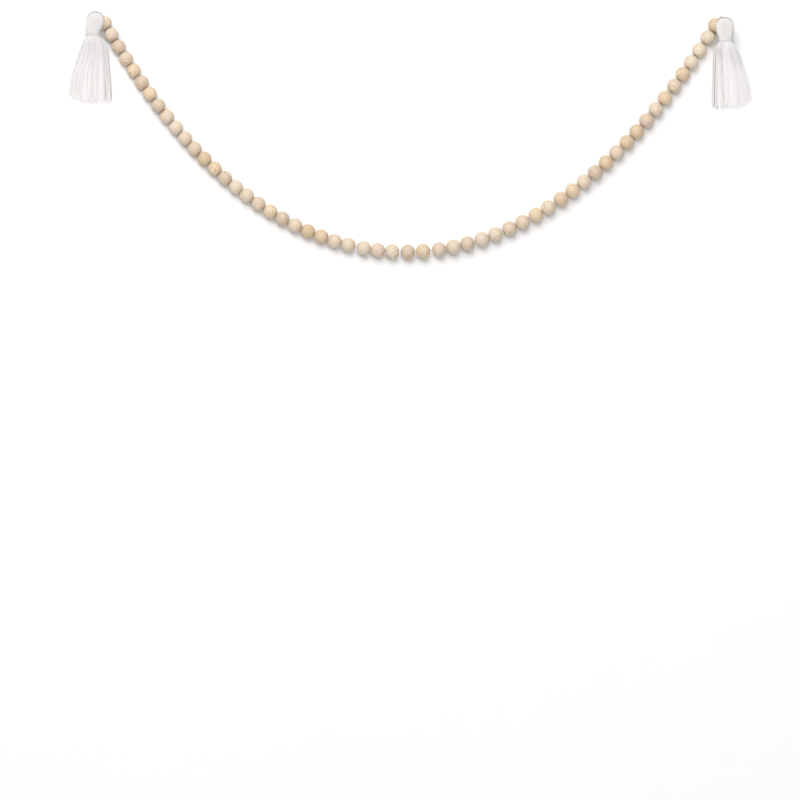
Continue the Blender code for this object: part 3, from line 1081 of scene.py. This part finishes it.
hangingThreads = skirtTree()
headPieces = []
for name, end in tassel["sides"].items():
    skirtPiece = makeSkirt(name, end, hangingThreads)
    upper = [makeHead(name, end), makeBinding(name, end)]
    headPieces += upper
    for piece in [skirtPiece] + upper:
        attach(piece, "root")
        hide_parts("tassel_" + name)
        print(f"{piece.name}: {len(piece.data.polygons)} faces")


# A white wall right behind the garland, a pale floor, and soft light from above

studio = {
    "wallGap": 0.5 * mm,
    "wallHalf": 3.0,
    "wallPaint": {"dark": (0.935, 0.935, 0.938), "light": (0.95, 0.95, 0.952)},
    "floor": -2.40,
    "floorPaint": {"dark": (0.80, 0.80, 0.80), "light": (0.84, 0.84, 0.84)},
    "paintRoughness": 0.95,
    "mottle": {"scale": 3.0, "detail": 3.0},
    "lamps": {  # degrees to the side and up, metres away and across, and watts
        "key": {"turn": -12, "height": 33, "away": 4.5, "size": 3.6, "power": 45.0},
        "glow": {"turn": -12, "height": 33, "away": 4.5, "size": 3.6, "power": 155.0},
        "fill": {"turn": 8, "height": 6, "away": 4.0, "size": 2.4, "power": 45.0},
    },
    "sky": 0.06,
}


def flatPiece(name, corners, material):
    mesh = bpy.data.meshes.new(name)
    mesh.from_pydata(corners, [], [range(len(corners))])
    mesh.materials.append(material)
    newObject(name, mesh)


def paintMaterial(name, paint):  # see-through from behind, so that it hides nothing
    material, tree, shader = newMaterial(name, studio["paintRoughness"], 0.0)
    place = addNode(tree, "ShaderNodeTexCoord", output="Object")
    colour = mixColour(tree, noise(tree, place, **studio["mottle"]), paint["dark"], paint["light"])
    tree.links.new(colour, shader.inputs["Base Color"])
    clear = tree.nodes.new("ShaderNodeBsdfTransparent")
    blend = tree.nodes.new("ShaderNodeMixShader")
    tree.links.new(addNode(tree, "ShaderNodeNewGeometry", output="Backfacing"), blend.inputs[0])
    tree.links.new(shader.outputs[0], blend.inputs[1])
    tree.links.new(clear.outputs[0], blend.inputs[2])
    tree.links.new(blend.outputs[0], tree.nodes["Material Output"].inputs["Surface"])
    return material


def softLight(name, look, target):
    data = bpy.data.lights.new(name, "AREA")
    data.shape = "DISK"
    data.size = look["size"]
    data.energy = look["power"]
    lamp = newObject(name, data)
    turn, height = math.radians(look["turn"]), math.radians(look["height"])
    flat = math.cos(height)
    back = Vector((math.sin(turn) * flat, -math.cos(turn) * flat, math.sin(height)))
    lamp.location = target + back * look["away"]
    lamp.rotation_euler = (-back).to_track_quat("-Z", "Y").to_euler()
    return lamp


def makeStudio(studio):
    half, low = studio["wallHalf"], studio["floor"]
    far = 2 * half
    back = cadBox[1].y + studio["wallGap"]
    wall = [(-half, back, low), (half, back, low), (half, back, half), (-half, back, half)]
    flatPiece("wall", wall, paintMaterial("wallPaint", studio["wallPaint"]))
    floor = [(-far, -far, low), (far, -far, low), (far, far, low), (-far, far, low)]
    flatPiece("floor", floor, paintMaterial("paleFloor", studio["floorPaint"]))
    middle = (cadBox[0] + cadBox[1]) / 2
    lamps = {name: softLight(name, look, middle) for name, look in studio["lamps"].items()}
    blockers = bpy.data.collections.new("blockers")
    for piece in beadPieces + headPieces:
        blockers.objects.link(piece)
    lamps["glow"].light_linking.blocker_collection = blockers
    world = bpy.data.worlds.new("studio")
    world.use_nodes = True
    sky = world.node_tree.nodes["Background"]
    sky.inputs["Color"].default_value = (1.0, 1.0, 1.0, 1.0)
    sky.inputs["Strength"].default_value = studio["sky"]
    scene.world = world
    scene.view_settings.view_transform = "Standard"
    print("studio: a wall, a floor and three soft lights")


makeStudio(studio)
